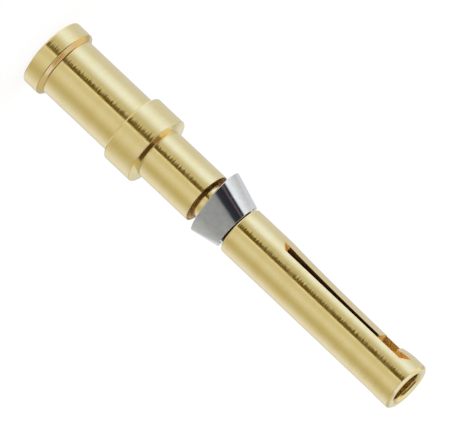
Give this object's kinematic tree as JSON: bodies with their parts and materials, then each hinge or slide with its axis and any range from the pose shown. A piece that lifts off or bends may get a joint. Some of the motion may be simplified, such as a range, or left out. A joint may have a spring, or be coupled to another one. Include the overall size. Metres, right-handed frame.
{
  "type": "crimp socket contact",
  "caption": "Turned gold-plated socket contact with a crimp barrel, a collar, a sawn spring tongue in a closed ring, and a split conical steel retaining clip in a groove.",
  "frame": {"origin": "centre of the flat crimp end, on which the contact stands", "axes": "+Z along the contact's axis from the crimp end to the mating end; the spring tongue faces -X"},
  "size_m": [0.0038, 0.0038, 0.0242],
  "materials": {
    "gold_plating": "fine turned gold plating",
    "spring_steel": "bright rolled strip"
  },
  "bodies": {
    "root": {"contact_body": "gold_plating", "retaining_clip": "spring_steel"}
  },
  "joints": []
}
